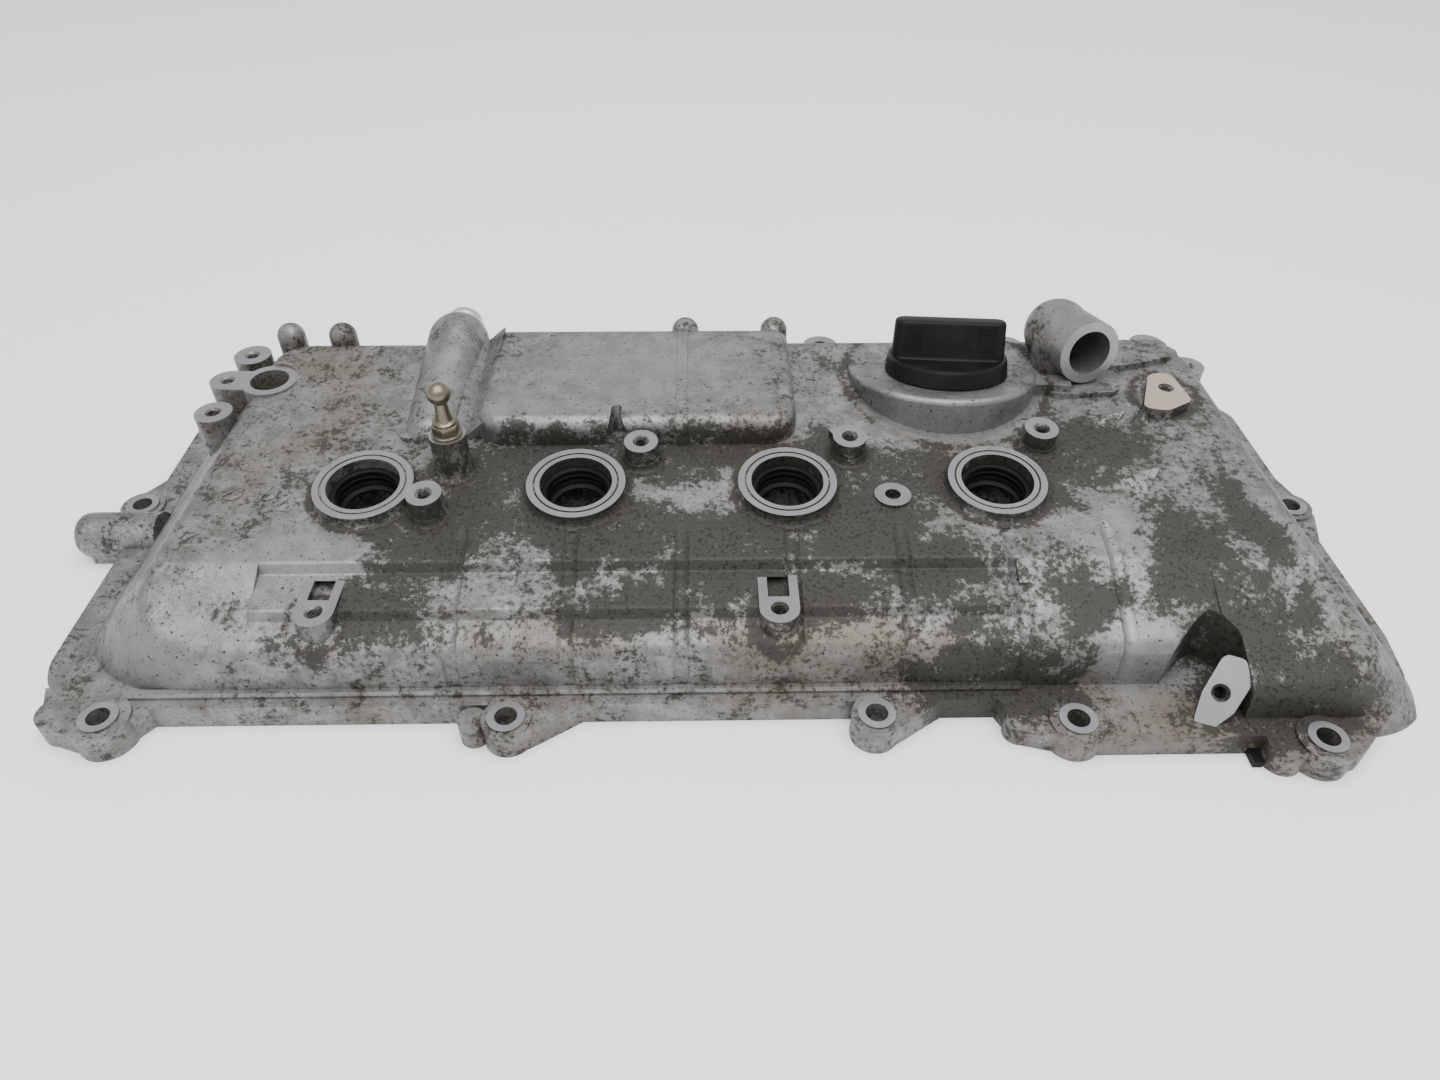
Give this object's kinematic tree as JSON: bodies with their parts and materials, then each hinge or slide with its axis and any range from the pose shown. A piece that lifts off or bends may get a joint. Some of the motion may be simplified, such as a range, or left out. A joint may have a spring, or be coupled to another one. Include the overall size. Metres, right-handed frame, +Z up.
{
  "type": "engine valve cover",
  "caption": "Die-cast aluminium engine valve cover with a row of plug wells, breather chamber, slanted valve boss and screw-on black oil filler cap.",
  "frame": {"origin": "bottom centre of the bounding box, on the sealing plane", "axes": "+X along the row of plug wells towards the chain-case bulge, +Y towards the breather and filler side, +Z up from the sealing face"},
  "size_m": [0.568, 0.2405, 0.0944],
  "materials": {
    "cast_aluminium": "dull as-cast skin with oil stains, bright machined seats",
    "black_rubber": "matte oily rubber",
    "black_plastic": "satin moulded nylon",
    "zinc_plate": "zinc plate, slightly green",
    "olive_zinc": "yellowed zinc plate",
    "sheet_aluminium": "pressed sheet"
  },
  "bodies": {
    "cover": {"cover_casting": "cast_aluminium", "perimeter_gasket": "black_rubber", "vent_pipe": "zinc_plate", "ball_stud": "olive_zinc", "separator_baffle": "sheet_aluminium", "baffle_screws": "zinc_plate", "plug_tube_seal_1": "black_rubber", "plug_tube_seal_2": "black_rubber", "plug_tube_seal_3": "black_rubber", "plug_tube_seal_4": "black_rubber"},
    "cap_lift": {"filler_cap_seal": "black_rubber"},
    "filler_cap": {"oil_filler_cap": "black_plastic"}
  },
  "joints": [
    {"name": "filler_cap_rise", "type": "slide", "parent": "cover", "child": "cap_lift", "axis": [0, 0.225, 0.9744], "range_m": [0, 0.00451]},
    {"name": "filler_cap_turn", "type": "hinge", "parent": "cap_lift", "child": "filler_cap", "pos_m": [0.1114, 0.06505, 0.06175], "axis": [0, 0.225, 0.9744], "range_deg": [0, 540]}
  ],
  "couplings": [
    {"joint": "filler_cap_rise", "follows": "filler_cap_turn", "m_per_rad": 0.00047746}
  ]
}
